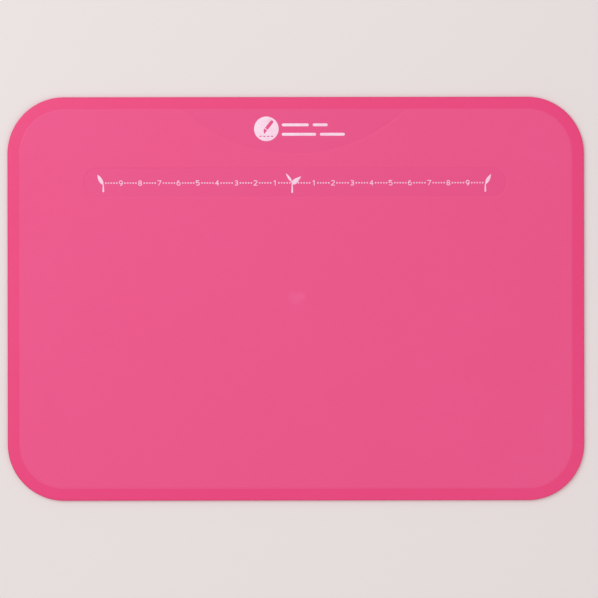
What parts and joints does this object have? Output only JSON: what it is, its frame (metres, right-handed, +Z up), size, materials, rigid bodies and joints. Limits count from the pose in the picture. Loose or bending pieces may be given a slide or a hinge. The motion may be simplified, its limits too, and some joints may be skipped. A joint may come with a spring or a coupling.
{
  "type": "cutting board",
  "caption": "Thin round-cornered plastic cutting board with a smooth rim and a white centre-zero centimetre scale printed in a sunk panel.",
  "frame": {"origin": "centre of the flat underside", "axes": "+X along the long side, the way the scale reads from left to right; +Y towards the long edge that the print is near; +Z up, out of the printed work face"},
  "size_m": [0.3, 0.21, 0.0025],
  "materials": {
    "board_plastic": "satin",
    "print_ink": "satin"
  },
  "bodies": {
    "root": {"board": "board_plastic", "badge": "print_ink", "bar_lower_left": "print_ink", "bar_lower_right": "print_ink", "bar_upper_left": "print_ink", "bar_upper_right": "print_ink", "dots_left_0_1": "print_ink", "dots_left_1_2": "print_ink", "dots_left_2_3": "print_ink", "dots_left_3_4": "print_ink", "dots_left_4_5": "print_ink", "dots_left_5_6": "print_ink", "dots_left_6_7": "print_ink", "dots_left_7_8": "print_ink", "dots_left_8_9": "print_ink", "dots_left_9_10": "print_ink", "dots_right_0_1": "print_ink", "dots_right_1_2": "print_ink", "dots_right_2_3": "print_ink", "dots_right_3_4": "print_ink", "dots_right_4_5": "print_ink", "dots_right_5_6": "print_ink", "dots_right_6_7": "print_ink", "dots_right_7_8": "print_ink", "dots_right_8_9": "print_ink", "dots_right_9_10": "print_ink", "mark_left_10": "print_ink", "mark_right_10": "print_ink", "mark_zero": "print_ink", "numeral_left_1": "print_ink", "numeral_left_2": "print_ink", "numeral_left_3": "print_ink", "numeral_left_4": "print_ink", "numeral_left_5": "print_ink", "numeral_left_6": "print_ink", "numeral_left_7": "print_ink", "numeral_left_8": "print_ink", "numeral_left_9": "print_ink", "numeral_right_1": "print_ink", "numeral_right_2": "print_ink", "numeral_right_3": "print_ink", "numeral_right_4": "print_ink", "numeral_right_5": "print_ink", "numeral_right_6": "print_ink", "numeral_right_7": "print_ink", "numeral_right_8": "print_ink", "numeral_right_9": "print_ink"}
  },
  "joints": []
}
